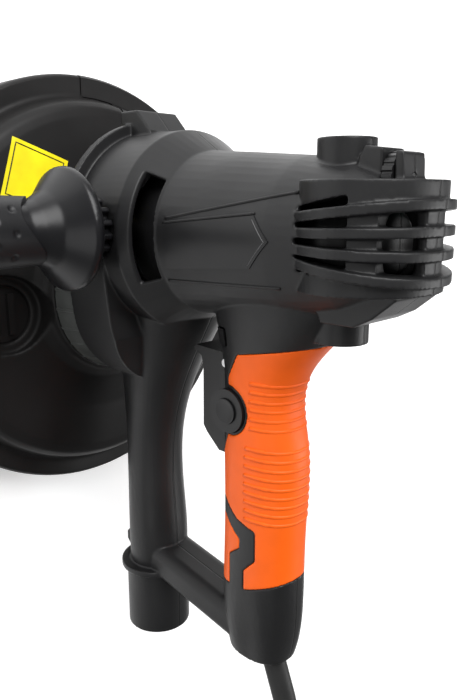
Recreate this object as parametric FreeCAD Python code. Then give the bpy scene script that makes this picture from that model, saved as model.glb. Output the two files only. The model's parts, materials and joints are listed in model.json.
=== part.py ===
import FreeCAD, Part
import math
import os

# Hand-held disc sander with a round dust hood.  Millimetres.  The tool stands on its
# sanding face: Z is the spindle axis pointing up and back along the motor, X points down
# the hand grip and Y points to the side away from the auxiliary handle.

os.makedirs("parts", exist_ok=True)
V = FreeCAD.Vector
UP = V(0, 0, 1)
DOWN_GRIP = V(1, 0, 0)
ACROSS = V(0, 1, 0)

# ---- driving dimensions ----------------------------------------------------------
MOTOR_X = -35.0            # motor axis, offset from the spindle axis by the gear pair
WALL = 2.6                 # plastic wall
RUN = 0.05                 # radial clearance of a running fit
AIR = 0.4                  # clearance between bodies that do not touch

HOOD_R = 120.0
HOOD_RIM_Z = 8.0
HOOD_SCREW_R = 36.5
FLANGE_Z = 30.0
DISC_R = 112.5             # 225 mm abrasive
PAD_R = 111.0
DISC_Z = 0.0
DISC_T = 1.2
LOOP_T = 1.4
FOAM_T = 9.0
HUB_T = 5.0
BRISTLE_IN = 113.6
BRISTLE_OUT = 116.8
SEGMENT_FROM = 90.0        # removable edge segment, degrees round from -X towards +Y
SEGMENT_TO = 168.0

MODULE = 1.25
TEETH_PINION = 9
TEETH_GEAR = 47
GEAR_Z = 84.5
GEAR_T = 9.0

LED_R = 45.3
LED_REAR_R = 43.5
LED_Z = 64.0
LED_TOP = 79.0
BOARD_T = 1.0

NECK_Z = 80.2              # stands on the light board
NECK_FLOOR_Z = 77.8
NECK_R = 49.0              # round the motor axis
NECK_LOW_R = 45.0          # round the spindle axis
SHOULDER_Z = 125.0
BARREL = [(38.8, 141), (37.2, 165), (34.6, 200), (30.6, 225), (25.5, 241), (17, 250), (8, 254.5)]
BARREL_END = 255.0

TUBE_Z = 89.0
TUBE_R = 15.9
PORT_R = 18.2
PORT_FROM = 160.0
PORT_END = 198.5
DUCT_R = 13.3
PORT_BORE_R = 16.0
PORT_BORE_L = 34.0

GRIP_Z = 173.7
GRIP_A = 21.4              # half depth along Z
GRIP_B = 16.5              # half width
GRIP_END = 176.0
SKIN_T = 2.2               # soft cover on the grip

BRUSH_Z = 214.5
BRUSH_BOSS_R = 12.0
BRUSH_TOP_X = -75.6
BRUSH_LOW_X = 7.3
FAN_Z = 124.0
COMMUTATOR_R = 11.5

SIDE_X = -38.0             # auxiliary handle axis
SIDE_Z = 108.0
SIDE_FACE = 46.5           # where its collar meets the neck
SIDE_END = 182.0
STUD_R = 4.0

CORD_R = 4.0               # 8 mm rubber cord
EXIT_TILT = 21.0           # degrees, the cord leaves the grip leaning back
EXIT_X = 172.0
EXIT_Z = 178.0
RELIEF_L = 50.0
RELIEF_R = 5.9


# ---- helpers ---------------------------------------------------------------------
def save(name, shape):
    if isinstance(shape, Part.Compound) and len(shape.Solids) == 1:
        shape = shape.Solids[0]
    shape.exportStep("parts/%s.step" % name)
    print("%-26s %2d solid %9.0f mm3 %s" % (name, len(shape.Solids), shape.Volume, shape.isValid()))


def rod(radius, start, end, x=0.0, y=0.0):
    """Cylinder along Z."""
    return Part.makeCylinder(radius, end - start, V(x, y, start), UP)


def ring(outer, inner, start, end, x=0.0, y=0.0):
    return rod(outer, start, end, x, y).cut(rod(inner, start - 1, end + 1, x, y))


def bar_x(radius, start, end, z, y=0.0):
    """Cylinder along X."""
    return Part.makeCylinder(radius, end - start, V(start, y, z), DOWN_GRIP)


def bar_y(radius, start, end, x, z):
    """Cylinder along Y."""
    return Part.makeCylinder(radius, end - start, V(x, start, z), ACROSS)


def box(x0, x1, y0, y1, z0, z1):
    return Part.makeBox(x1 - x0, y1 - y0, z1 - z0, V(x0, y0, z0))


def revolve(points, x=0.0):
    """Solid of revolution about the Z line at x from (radius, z) points."""
    corners = [V(x + r, 0, z) for r, z in points]
    face = Part.Face(Part.makePolygon(corners + corners[:1]))
    return face.revolve(V(x, 0, 0), UP, 360)


def prism_y(points, y0, y1):
    """(x, z) outline pushed along Y."""
    corners = [V(x, y0, z) for x, z in points]
    face = Part.Face(Part.makePolygon(corners + corners[:1]))
    return face.extrude(V(0, y1 - y0, 0))


def prism_z(points, z0, z1):
    corners = [V(x, y, z0) for x, y in points]
    face = Part.Face(Part.makePolygon(corners + corners[:1]))
    return face.extrude(V(0, 0, z1 - z0))


def join(shapes):
    first = shapes[0]
    rest = list(shapes[1:])
    return first.multiFuse(rest).removeSplitter() if rest else first


def polar(radius, degrees):
    """Point on the hood; 0 degrees is towards -Y, 90 towards -X, 180 towards +Y."""
    a = math.radians(degrees)
    return (-radius * math.sin(a), -radius * math.cos(a))


def sector(r0, r1, a0, a1, z0, z1):
    """Ring sector between two angles, in the sense of polar()."""
    whole = ring(r1, r0, z0, z1) if r0 > 0 else rod(r1, z0, z1)
    far = r1 * 3
    steps = 5
    spread = [a0 + (a1 - a0) * i / steps for i in range(steps + 1)]
    wedge = prism_z([(0, 0)] + [polar(far, a) for a in spread], z0 - 1, z1 + 1)
    return whole.common(wedge)


def oval_wire(x, z, half_z, half_y, power=2.0):
    """Closed smooth outline in the plane X = x; a higher power gives squarer corners."""
    points = []
    for i in range(24):
        a = 2 * math.pi * (i + 0.5) / 24
        c = math.cos(a)
        s = math.sin(a)
        along = math.copysign(abs(c) ** (2 / power), c)
        over = math.copysign(abs(s) ** (2 / power), s)
        points.append(V(x, half_y * over, z + half_z * along))
    curve = Part.BSplineCurve()
    curve.interpolate(Points=points, PeriodicFlag=True)
    return Part.Wire([curve.toShape()])


def loft_x(sections, inset=0.0, power=2.0):
    """Solid through ovals given as (x, z, half depth, half width)."""
    wires = [oval_wire(x, z, a - inset, b - inset, power) for x, z, a, b in sections]
    return Part.makeLoft(wires, True, False)


def stadium(motor_r, low_r, z0, z1):
    """Block whose outline wraps the motor axis and the spindle axis."""
    d = -MOTOR_X
    lean = math.asin((motor_r - low_r) / d)
    c = math.cos(lean)
    s = math.sin(lean)
    flank = [(MOTOR_X + motor_r * s, motor_r * c), (low_r * s, low_r * c)]
    flank += [(low_r * s, -low_r * c), (MOTOR_X + motor_r * s, -motor_r * c)]
    return join([rod(motor_r, z0, z1, MOTOR_X), rod(low_r, z0, z1), prism_z(flank, z0, z1)])


def gear(teeth, thick, z, x, turn, addendum, dedendum):
    """Spur gear with involute flanks and 0.5 mm of play, first tooth at turn degrees."""
    pitch = MODULE * teeth / 2
    base = pitch * math.cos(math.radians(20))
    tip = pitch + addendum
    root = pitch - dedendum
    half = (math.pi * MODULE / 2 - 0.5) / 2 / pitch
    at_pitch = math.tan(math.radians(20)) - math.radians(20)
    flank = [(root, half + at_pitch)]
    low = max(base, root) + 0.01
    for i in range(5):
        r = low + (tip - low) * i / 4
        t = math.sqrt((r / base) ** 2 - 1)
        flank.append((r, half + at_pitch - (t - math.atan(t))))
    outline = []
    for n in range(teeth):
        mid = math.radians(turn) + 2 * math.pi * n / teeth
        for r, a in flank:
            outline.append((x + r * math.cos(mid - a), r * math.sin(mid - a)))
        for r, a in reversed(flank):
            outline.append((x + r * math.cos(mid + a), r * math.sin(mid + a)))
    return prism_z(outline, z, z + thick)


# ---- dust hood -------------------------------------------------------------------
HOOD_OUT = [(HOOD_R, HOOD_RIM_Z), (HOOD_R, 27.5), (118.5, FLANGE_Z), (108.5, FLANGE_Z), (106.8, 32)]
HOOD_OUT += [(104, 41.5), (101, 44.5), (96, 46), (70, 49.5), (52, 54), (46.5, 58), (45.3, 63.5)]
HOOD_IN = [(32, 63.5), (32, 60), (43, 56.5), (50, 51), (69, 46.6), (95.5, 43.2), (99, 42), (101.3, 39.8)]
HOOD_IN += [(104.4, 27.4), (116.9, 27.4), (116.9, HOOD_RIM_Z)]
VALVE_AT = (65.8, -7.6)    # radius and angle of the air valve on the hood
VALVE_R = 15.5
VALVE_Z = 42.0             # floor of its recess
VALVE_STEP_R = 21.0        # shallow step round the recess
VALVE_STEP_Z = 46.8


def hood_shell():
    return revolve(HOOD_OUT + HOOD_IN)


def segment_cut():
    """Region of the hood that lifts out for work close to a wall."""
    flange = sector(107.6, 130, SEGMENT_FROM, SEGMENT_TO, 0, 60)
    raised = sector(95.5, 130, SEGMENT_FROM + 11, SEGMENT_TO - 11, 26, 60)
    return join([flange, raised])


def dust_hood():
    shell = hood_shell().cut(segment_cut())
    x, y = polar(*VALVE_AT)
    filled = revolve(HOOD_OUT + [(0, 63.5), (0, HOOD_RIM_Z)])
    cup = rod(VALVE_STEP_R + 2.2, VALVE_Z - 3, 60, x, y).common(filled)
    recess = rod(VALVE_R, VALVE_Z, 60, x, y).fuse(rod(VALVE_STEP_R, VALVE_STEP_Z, 62, x, y))
    shell = join([shell, cup]).cut(recess)
    opening = rod(9.5, VALVE_Z - 8, VALVE_Z + 1, x, y).cut(box(x - 20, x + 20, y, y + 20, 20, 60))
    pivot = rod(2.6, VALVE_Z - 5, VALVE_Z + 1, x, y)
    shell = shell.cut(opening).cut(pivot)
    for degrees in range(0, 360, 60):
        px, py = polar(HOOD_SCREW_R, degrees)
        shell = shell.cut(rod(1.7, 50, 70, px, py)).cut(rod(3.2, 50, 60, px, py))
    return shell


def hood_segment():
    trim = 0.35
    flange = sector(107.6 + trim, 130, SEGMENT_FROM + 0.2, SEGMENT_TO - 0.2, 0, 60)
    raised = sector(95.5 + trim, 130, SEGMENT_FROM + 11.2, SEGMENT_TO - 11.2, 26, 60)
    return hood_shell().common(join([flange, raised]))


def bristles(a0, a1):
    return sector(BRISTLE_IN, BRISTLE_OUT, a0, a1, 0, 27.3)


def air_valve():
    """Round shutter with a half-moon window and a thumb bar."""
    x, y = polar(*VALVE_AT)
    disc = rod(VALVE_R - 0.3, VALVE_Z + 0.1, VALVE_Z + 2.1, x, y)
    window = rod(10.5, VALVE_Z - 1, VALVE_Z + 4, x, y).cut(box(x - 20, x + 20, y - 1.5, y + 20, 20, 60))
    thumb = box(x - 11, x + 11, y + 2.5, y + 6.0, VALVE_Z + 1, VALVE_Z + 4.6)
    pin = rod(2.55, VALVE_Z - 4, VALVE_Z + 2, x, y)
    return join([disc.cut(window), thumb, pin])


# ---- clamshell -------------------------------------------------------------------
TUBE_SECTIONS = [(0, 106, 34, 31), (25, 99.5, 26.5, 24), (52, 92.8, 19.8, 18.4)]
TUBE_SECTIONS += [(84, TUBE_Z, TUBE_R, TUBE_R), (PORT_FROM + 1, TUBE_Z, TUBE_R, TUBE_R)]
GRIP_SECTIONS = [(-14, 182, 36, 24), (8, 180, 31.5, 20), (26, 174.3, 22.2, 17.2)]
GRIP_SECTIONS += [(60, GRIP_Z, GRIP_A, GRIP_B), (110, GRIP_Z, GRIP_A, GRIP_B)]
GRIP_SECTIONS += [(150, GRIP_Z - 0.5, GRIP_A, GRIP_B), (GRIP_END, GRIP_Z - 0.7, 17.5, 14)]
BAR_SLOPE = 10.0           # degrees the lower bar drops towards the grip
BAR_W = 27.0
BAR_H = 18.5
FIN_T = 3.9
FIN_LINES = ((-44.4, -50.7), (-39.4, -40.5), (-33.7, -31.2), (-29.3, -21.0))  # middle X at each end
FIN_FROM = 205.0
FIN_TO = 262.0
FIN_MIDDLE = 227.0
FIN_A = 31.6               # half reach of the fins along Z
FIN_B = 34.4               # and along Y
CORE_A = 28.8
CORE_B = 31.6
REAR_INLET_Z = 245.0
REAR_INLET_OUT = 24.0
REAR_PILLAR = 7.0          # half width of the post between the rear inlets


def barrel(inset):
    points = [(0, SHOULDER_Z - 30), (NECK_R - inset, SHOULDER_Z - 30), (NECK_R - inset, SHOULDER_Z)]
    points += [(r - inset, z) for r, z in BARREL]
    end = BARREL_END - inset
    points[-1] = (points[-1][0], points[-1][1] - inset)
    return revolve(points + [(0, end)], MOTOR_X)


def neck(inset):
    """Wraps the gear case; closed below the motor, open below over the light board."""
    floor = NECK_FLOOR_Z + inset
    start = NECK_Z - (1 if inset else 0)
    edge = -LED_R - 0.7
    block = stadium(NECK_R - inset, NECK_LOW_R - inset, 70, 112 - inset)
    top = 126 - 1.07 * inset
    outline = [(-100, floor), (edge, floor), (edge, start), (60, start), (60, top - 30), (-22, top)]
    outline.append((-100, top))
    return block.common(prism_y(outline, -60, 60))


def lower_bar(inset):
    h = BAR_H / 2 - inset
    w = BAR_W / 2 - inset
    beam = box(-h, h, -w, w, -34, 34)
    beam = beam.makeFillet(6.0 if not inset else 4.0, [e for e in beam.Edges if abs(e.Length - 68) < 0.01])
    beam.Placement = FreeCAD.Placement(V(157.5, 0, 129), FreeCAD.Rotation(ACROSS, BAR_SLOPE))
    return beam


def fin_slabs():
    """Four slabs across the motor housing that fan out towards the rear."""
    slabs = []
    for near, far in FIN_LINES:
        outline = [(near - FIN_T / 2, FIN_FROM), (far - FIN_T / 2, FIN_TO)]
        outline += [(far + FIN_T / 2, FIN_TO), (near + FIN_T / 2, FIN_FROM)]
        slabs.append(prism_y(outline, -50, 50))
    return slabs


def rear_fins():
    """Four fins round the rear of the motor housing and the rounded core they stand on."""
    outside = oval_bar(FIN_A, FIN_B, -60, -12)
    form = oval_bar(CORE_A, CORE_B, -59, -16.5).common(box(-64, -10, -50, 50, 212, 270))
    for slab in fin_slabs():
        form = form.fuse(slab.common(outside))
    return form


def oval_bar(half_z, half_y, start, end):
    """Elliptical bar along X round the middle of the fins."""
    middle = V(start, 0, FIN_MIDDLE)
    curve = Part.Ellipse(middle + ACROSS * half_y, middle + UP * half_z, middle)
    return Part.Face(Part.Wire(curve.toShape())).extrude(V(end - start, 0, 0))


def belly():
    outline = [(-30, 205), (-3.2, 216), (-3.2, 232), (-7.2, 240), (-15.4, 250), (-30, 254)]
    return prism_y(outline, -17, 17)


def dial_lugs():
    first = prism_y([(-56, 224), (-68, 225.5), (-71.8, 228), (-70.8, 235.8), (-56, 235.8)], -8, 8)
    second = prism_y([(-52, 241.4), (-69.6, 241.4), (-68.8, 244.6), (-52, 246)], -8, 8)
    return [first, second]


def outer_form():
    rib = rod(54.5, 88, 92.5, MOTOR_X).common(box(-100, -52, -60, 60, 80, 100))
    shapes = [barrel(0), neck(0), rib]
    shapes.append(prism_y([(-94.4, 84), (-94.4, 97), (-84, 107), (-60, 107), (-60, 84)], -13, 13))
    shapes += [loft_x(TUBE_SECTIONS), loft_x(GRIP_SECTIONS, 0, 2.3), lower_bar(0)]
    shapes += [bar_x(PORT_R, PORT_FROM, PORT_END, TUBE_Z), bar_x(21.4, 157.5, 161, TUBE_Z)]
    tab = prism_y([(146, 75), (146, 68), (149, 65.3), (154, 65.3), (158, 69), (158, 75)], -4.5, 4.5)
    shapes.append(tab)
    shapes.append(bar_x(BRUSH_BOSS_R, BRUSH_TOP_X, BRUSH_LOW_X, BRUSH_Z))
    shapes += [rear_fins(), belly()] + dial_lugs()
    return join(shapes)


def handle_bosses():
    """Bosses with the thread for the auxiliary handle, one on each side."""
    low = bar_y(9, -46.5, -34, SIDE_X, SIDE_Z)
    high = bar_y(9, 34, 46.5, SIDE_X, SIDE_Z)
    return [low, high]


def inner_void():
    duct = [(0, 106, 31, 28), (25, 99.5, 23.5, 21), (52, 92.8, 16.8, 15.6), (84, TUBE_Z, DUCT_R, DUCT_R)]
    duct.append((PORT_FROM + 10, TUBE_Z, DUCT_R, DUCT_R))
    shapes = [barrel(WALL), neck(WALL), loft_x(duct)]
    grip = [GRIP_SECTIONS[0], GRIP_SECTIONS[1], GRIP_SECTIONS[2], GRIP_SECTIONS[3], GRIP_SECTIONS[4]]
    grip += [GRIP_SECTIONS[5], (GRIP_END - 4, GRIP_Z - 0.7, 18, 14.5)]
    shapes.append(loft_x(grip, SKIN_T + WALL, 2.3))
    shapes.append(bar_x(PORT_BORE_R, PORT_END - PORT_BORE_L, PORT_END + 5, TUBE_Z))
    shapes.append(lower_bar(WALL).common(box(100, 200, -50, 50, 108, 153)))
    shapes.append(bar_x(BRUSH_BOSS_R - 2.5, BRUSH_TOP_X - 1, BRUSH_LOW_X + 1, BRUSH_Z))
    return join(shapes)


SKIN = [(17.5, 171), (30, 162.8), (34, 162.8), (34, 163.8), (58, 163.8), (58, 162.4), (67.7, 157.5)]
SKIN += [(73, 140), (92, 140), (93, 160), (99.5, 169), (103.5, 181), (118.5, 181), (125.5, 174.3)]
SKIN += [(136, 174.3), (121, 215), (9, 215)]
INLAY = [(98.5, 140), (101.5, 160), (110, 171.5), (114.5, 171.5), (120.5, 164), (137, 164), (141, 140)]
LOCK_X = 46.0
LOCK_Z = 163.7
LOCK_BEZEL_R = 10.6
LOCK_R = 6.2
WINDOW = (6.2, 15.0, 152.8, 163.6)      # light switch opening: X range then Z range
DIAL_X = -60.0
DIAL_R = 9.4
DIAL_PIN_R = 1.5
DIAL_Z = (236.4, 240.8)
SPEED_BOARD_Z = (237.0, 244.5)
SPEED_BOARD_Y = 9.5
TRIGGER_PIVOT = (24.5, 158.5)           # X, Z
TRIGGER_W = 9.0
EXIT = V(EXIT_X, 0, EXIT_Z)
EXIT_WAY = V(math.cos(math.radians(EXIT_TILT)), 0, math.sin(math.radians(EXIT_TILT)))


def grip_skin(outline, proud=0.0):
    """Soft cover: the outer layer of the grip inside an outline seen from the side."""
    outside = loft_x(GRIP_SECTIONS, -proud, 2.3)
    inside = loft_x(GRIP_SECTIONS, SKIN_T, 2.3)
    layer = outside.cut(inside).common(prism_y(outline, -40, 40))
    layer = layer.cut(bar_y(LOCK_BEZEL_R + 1.6, -40, 0, LOCK_X, LOCK_Z))
    return layer.cut(trigger_slot())


def trigger_slot():
    y = TRIGGER_W + 0.5
    return box(18, 73, -y, y, 131.8, 163)


def shoulder_slot():
    """Curved air slot in the shoulder on both sides."""
    wedge = []
    for side in (-1, 1):
        a = [side * i for i in (51, 65, 79, 93, 106, 119)]
        near = [(MOTOR_X - 60 * math.cos(math.radians(d)), 60 * math.sin(math.radians(d))) for d in a]
        wedge.append(prism_z([(MOTOR_X, 0)] + near, 130, 139.5))
    hollow = rod(34, 120, 150, MOTOR_X)
    return [w.cut(hollow) for w in wedge]


def vents():
    """Air inlets between the fins: long ones on both sides, small ones at the rear."""
    side = prism_y([(-49.3, 213.5), (-53.4, 236), (-22.2, 236), (-25.0, 213.5)], -50, 50)
    side = side.cut(rod(24, 200, 240, MOTOR_X))
    y = REAR_INLET_OUT
    rear = box(-50, -22, -y, y, REAR_INLET_Z, FIN_TO)
    rear = rear.cut(box(-60, 0, -REAR_PILLAR, REAR_PILLAR, REAR_INLET_Z - 5, FIN_TO + 5))
    cuts = []
    for band in (side, rear):
        for slab in fin_slabs():
            band = band.cut(slab)
        cuts.append(band)
    return cuts


def openings():
    shapes = shoulder_slot() + vents()
    shapes.append(rod(LED_R + 0.3, 60, NECK_Z))
    shapes.append(trigger_slot())
    shapes.append(bar_y(LOCK_R + 0.25, -30, 0, LOCK_X, LOCK_Z))
    shapes.append(box(WINDOW[0], WINDOW[1], -30, -8, WINDOW[2], WINDOW[3]))
    z0, z1 = DIAL_Z
    shapes.append(box(-80, -50, -10.2, 10.2, z0 - AIR, z1 + AIR))
    shapes.append(Part.makeCylinder(RELIEF_R + 0.1, 40, EXIT - EXIT_WAY * 22, EXIT_WAY))
    shapes.append(bar_y(STUD_R, -60, 60, SIDE_X, SIDE_Z))
    shapes.append(bar_y(15.3, -70, -SIDE_FACE - 1.4, SIDE_X, SIDE_Z))
    shapes.append(bar_y(10, SIDE_FACE + 1.4, 70, SIDE_X, SIDE_Z))
    return shapes


def badge(side):
    """Raised arrow-shaped plate on the side of the motor housing."""
    outline = [(-41, 146), (-45.5, 195), (-35.5, 203), (-24.5, 193), (-21, 146)]
    plate = prism_y(outline, 20, 60) if side > 0 else prism_y(outline, -60, -20)
    grown = [(r + 0.5, z) for r, z in BARREL]
    skin = revolve([(0, 141)] + grown[0:4] + [(0, 225)], MOTOR_X)
    return plate.common(skin).cut(revolve([(0, 141)] + BARREL[0:4] + [(0, 225)], MOTOR_X))


def housing():
    form = outer_form().cut(grip_skin(SKIN, 1.0)).cut(grip_skin(INLAY, 1.0))
    body = join([form.cut(inner_void())] + handle_bosses())
    for cut in openings():
        body = body.cut(cut)
    return body


# x, z and the height of the surface round each housing screw
SCREWS = [(-88.5, 90.5, 13.0), (12.0, 170.0, 17.0), (2.0, 201.6, 16.0), (158.0, 121.5, 13.2)]
SCREWS += [(160.0, 139.0, 13.2), (158.0, 174.0, 16.0), (-14.0, 232.0, 17.0)]


def housing_screws(grow=0.0):
    """Screws that draw the two halves together, heads sunk in the right half."""
    shapes = []
    for x, z, face in SCREWS:
        outer = face + 4 if grow else face - 2.6
        head = bar_y(3.0 + grow, face - 5 - grow, outer, x, z)
        shank = bar_y(1.5 + grow / 4, -8, face - 4, x, z)
        shapes.append(head.fuse(shank).removeSplitter())
    return shapes


def half(shape, side):
    """Left (-1) or right (+1) of the middle plane, the largest solid only."""
    region = box(-300, 400, 0, 300, -100, 400) if side > 0 else box(-300, 400, -300, 0, -100, 400)
    piece = shape.common(region)
    return max(piece.Solids, key=lambda s: s.Volume)


# ---- spindle, gears and gear case ------------------------------------------------
CASE_LOW_R = 34.5
CASE_MOTOR_R = 21.0
CASE_SPLIT = 95.0
DUST_WINDOW = (210, 330)   # where dust passes the gear case, degrees, centred on the tube
CASE_EARS = ((22, 28), (22, -28), (-31, 24.5), (-31, -24.5))
SPINDLE_R = 6.0
MOTOR_BEARING_Z = (104.0, 113.0)
UPPER_BEARING_Z = (100.5, 108.5)
LOWER_BEARING_Z = (55.0, 65.0)


def gear_case():
    shapes = [rod(40.4, 63.6, 67), rod(19.4, 52, 84), stadium(CASE_MOTOR_R, CASE_LOW_R, 80.6, CASE_SPLIT)]
    shapes += [rod(4.2, 84, CASE_SPLIT, x, y) for x, y in CASE_EARS]
    body = join(shapes).cut(stadium(8.5, 31.4, 83.8, CASE_SPLIT + 1))
    body = body.cut(rod(16.0, 51, LOWER_BEARING_Z[1])).cut(rod(8.0, 50, 100))
    body = body.cut(sector(21.5, 31.5, *DUST_WINDOW, 60, 72))
    for degrees in range(0, 360, 60):
        x, y = polar(HOOD_SCREW_R, degrees)
        body = body.cut(rod(1.6, 60, 68, x, y))
    for x, y in CASE_EARS:
        body = body.cut(rod(1.6, 80, 100, x, y))
    return body


def gear_cover():
    shapes = [stadium(CASE_MOTOR_R, CASE_LOW_R, CASE_SPLIT, 99), rod(16.5, 98, 110)]
    shapes.append(rod(18, 98, 115, MOTOR_X))
    shapes += [rod(4.2, CASE_SPLIT, 99, x, y) for x, y in CASE_EARS]
    body = join(shapes).cut(rod(13, UPPER_BEARING_Z[0], UPPER_BEARING_Z[1])).cut(rod(8, 90, 104))
    body = body.cut(rod(14, MOTOR_BEARING_Z[0], 120, MOTOR_X)).cut(rod(8, 90, 120, MOTOR_X))
    for x, y in CASE_EARS:
        body = body.cut(rod(1.6, 80, 100, x, y))
    return body


def spindle():
    return join([rod(7.0, 16, 26), rod(SPINDLE_R, 12, 99.5), rod(5.0, 99, 108), rod(7.4, 67.2, 69.2)])


def dust_holes(shape):
    for n in range(8):
        a = math.radians(45 * n)
        shape = shape.cut(rod(7.0, -5, 40, 74 * math.cos(a), 74 * math.sin(a)))
    return shape


def pad_parts():
    z1 = DISC_Z + DISC_T
    z2 = z1 + LOOP_T
    z3 = z2 + FOAM_T
    z4 = z3 + HUB_T
    save("abrasive_disc", dust_holes(rod(DISC_R, DISC_Z, z1)))
    save("loop_face", dust_holes(ring(PAD_R, 17, z1, z2)))
    save("pad_foam", dust_holes(ring(PAD_R, 17, z2, z3)))
    plate = join([rod(PAD_R - 2, z3, z4), revolve([(0, z4), (34, z4), (26, 26), (0, 26)])])
    ribs = []
    for n in range(8):
        rib = box(28, 104, -1.2, 1.2, z4 - 0.5, z4 + 3)
        rib.rotate(V(0, 0, 0), UP, 45 * n + 22.5)
        ribs.append(rib)
    plate = dust_holes(join([plate] + ribs)).cut(rod(7.0, 16, 30)).cut(rod(SPINDLE_R, 0, 20))
    save("backing_plate", plate)
    save("pad_nut", ring(13.0, SPINDLE_R, z3 - 6, z3).cut(box(-20, 20, -1.5, 1.5, z3 - 7, z3 - 4)))


def gears():
    wheel = gear(TEETH_GEAR, GEAR_T, GEAR_Z, 0.0, 180.0, 0.8, 1.5)
    hub = ring(12, SPINDLE_R, GEAR_Z + GEAR_T - 1, GEAR_Z + GEAR_T + 1)
    wheel = join([wheel, hub]).cut(rod(SPINDLE_R, 70, 110))
    for n in range(6):
        a = math.radians(60 * n)
        wheel = wheel.cut(rod(4.0, 80, 96, 20 * math.cos(a), 20 * math.sin(a)))
    save("output_gear", wheel)
    gap = 180.0 / TEETH_PINION
    save("pinion", gear(TEETH_PINION, GEAR_T + 1, GEAR_Z - 0.4, MOTOR_X, gap, 1.0, 1.2))


def bearing(name, outer, inner, z, x=0.0):
    """Ball bearing as one ring, with a groove on each face between its two races."""
    body = ring(outer, inner + RUN, z[0], z[1], x)
    mid = (outer + inner) / 2
    for face in (z[0] - 1, z[1] - 0.8):
        body = body.cut(ring(mid + 1.6, mid - 1.6, face, face + 1.8, x))
    save(name, body)


# ---- motor -----------------------------------------------------------------------
ROTOR_R = 17.5
STATOR_R = 31.8
STACK = (148.0, 192.0)


def armature_shaft():
    steps = [(4.2, 94.1, 101), (6.0, 101, 116), (5.0, 115, 227), (4.0, 226, 237)]
    return join([rod(r, z0, z1, MOTOR_X) for r, z0, z1 in steps])


def rotor_core():
    core = ring(ROTOR_R, 5.0, STACK[0] - 1, STACK[1] + 1, MOTOR_X)
    for n in range(12):
        slot = box(ROTOR_R - 5, ROTOR_R + 1, -1.1, 1.1, 140, 200)
        slot.rotate(V(0, 0, 0), UP, 30 * n)
        slot.translate(V(MOTOR_X, 0, 0))
        core = core.cut(slot)
    return core


def front_turns():
    """Winding ends towards the fan, rounded like a bundle of wire."""
    low = STACK[0] - 9
    high = STACK[0] - 1
    return revolve([(5.0, low), (12, low), (15.5, (low + high) / 2), (12, high), (5.0, high)], MOTOR_X)


def rear_turns():
    """Winding ends towards the commutator, tapered at the rear."""
    low = STACK[1] + 1
    high = STACK[1] + 12
    return revolve([(5.0, low), (15.5, low), (15.5, high - 3), (12, high), (5.0, high)], MOTOR_X)


def commutator():
    body = ring(COMMUTATOR_R, 5.0, 206, 223, MOTOR_X)
    for n in range(24):
        slit = box(COMMUTATOR_R - 1.2, COMMUTATOR_R + 1, -0.25, 0.25, 200, 230)
        slit.rotate(V(0, 0, 0), UP, 15 * n + 7.5)
        slit.translate(V(MOTOR_X, 0, 0))
        body = body.cut(slit)
    return body


def cooling_fan():
    blades = [ring(9, 5.0, FAN_Z - 6, FAN_Z + 4, MOTOR_X), ring(33, 5.0, FAN_Z + 2, FAN_Z + 4, MOTOR_X)]
    for n in range(11):
        blade = box(8, 32.5, -0.8, 0.8, FAN_Z - 5, FAN_Z + 2.5)
        blade.rotate(V(0, 0, 0), UP, 360.0 * n / 11)
        blade.translate(V(MOTOR_X, 0, 0))
        blades.append(blade)
    return join(blades)


def stator_core():
    core = ring(STATOR_R, 25, STACK[0], STACK[1], MOTOR_X)
    poles = ring(25.5, ROTOR_R + 0.6, STACK[0], STACK[1], MOTOR_X)
    keep = box(MOTOR_X - 13, MOTOR_X + 13, -40, 40, 140, 200)
    return join([core, poles.common(keep)])


def field_coils():
    coils = []
    for side in (-1, 1):
        loop = ring(24.7, ROTOR_R + 1.2, STACK[0] - 8, STACK[1] + 8, MOTOR_X)
        y = sorted((side * 3, side * 40))
        loop = loop.common(box(MOTOR_X - 22, MOTOR_X + 22, y[0], y[1], 100, 250))
        loop = loop.cut(box(MOTOR_X - 13.3, MOTOR_X + 13.3, -40, 40, STACK[0] - 0.3, STACK[1] + 0.3))
        coils.append(loop)
    return Part.Compound(coils)


def along_brush(inner, outer, half_y, half_z, side):
    """Block on the brush line, reaching from inner to outer away from the motor axis."""
    x = sorted((MOTOR_X + side * inner, MOTOR_X + side * outer))
    return box(x[0], x[1], -half_y, half_y, BRUSH_Z - half_z, BRUSH_Z + half_z)


def brush_gear(side):
    """Holder, carbon brush, spring and screw cap on one side of the commutator."""
    reach = MOTOR_X - BRUSH_TOP_X if side < 0 else BRUSH_LOW_X - MOTOR_X
    holder = along_brush(13.5, reach - 7, 5.2, 4.6, side).cut(along_brush(10, 60, 3.6, 3.1, side))
    brush = along_brush(COMMUTATOR_R + 0.3, 24, 3.4, 2.9, side)
    start = MOTOR_X - reach + 5.2 if side < 0 else MOTOR_X + 24
    end = MOTOR_X - 24 if side < 0 else MOTOR_X + reach - 5.2
    spring = bar_x(2.6, start, end, BRUSH_Z).cut(bar_x(1.9, start - 1, end + 1, BRUSH_Z))
    face = MOTOR_X + side * (reach - 0.6)
    inside = MOTOR_X + side * (reach - 5)
    x = sorted((face, inside))
    cap = bar_x(BRUSH_BOSS_R - 2.6, x[0], x[1], BRUSH_Z)
    slot = sorted((face - side * 1.5, face + side * 2))
    cap = cap.cut(box(slot[0], slot[1], -7, 7, BRUSH_Z - 0.9, BRUSH_Z + 0.9))
    return holder, brush, spring, cap


# ---- controls --------------------------------------------------------------------
def trigger():
    px, pz = TRIGGER_PIVOT
    outline = [(19.6, 134.2), (21.5, 132.8), (24.5, 138.2), (30, 139.6), (60.5, 139.4), (64, 142)]
    outline += [(71.5, 150.4), (71.5, 156.5), (28, 156.5), (28, 161.5), (21, 161.5), (20.5, 150)]
    body = prism_y(outline, -TRIGGER_W, TRIGGER_W)
    return body.cut(bar_y(2.0 + RUN, -20, 20, px, pz))


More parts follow.
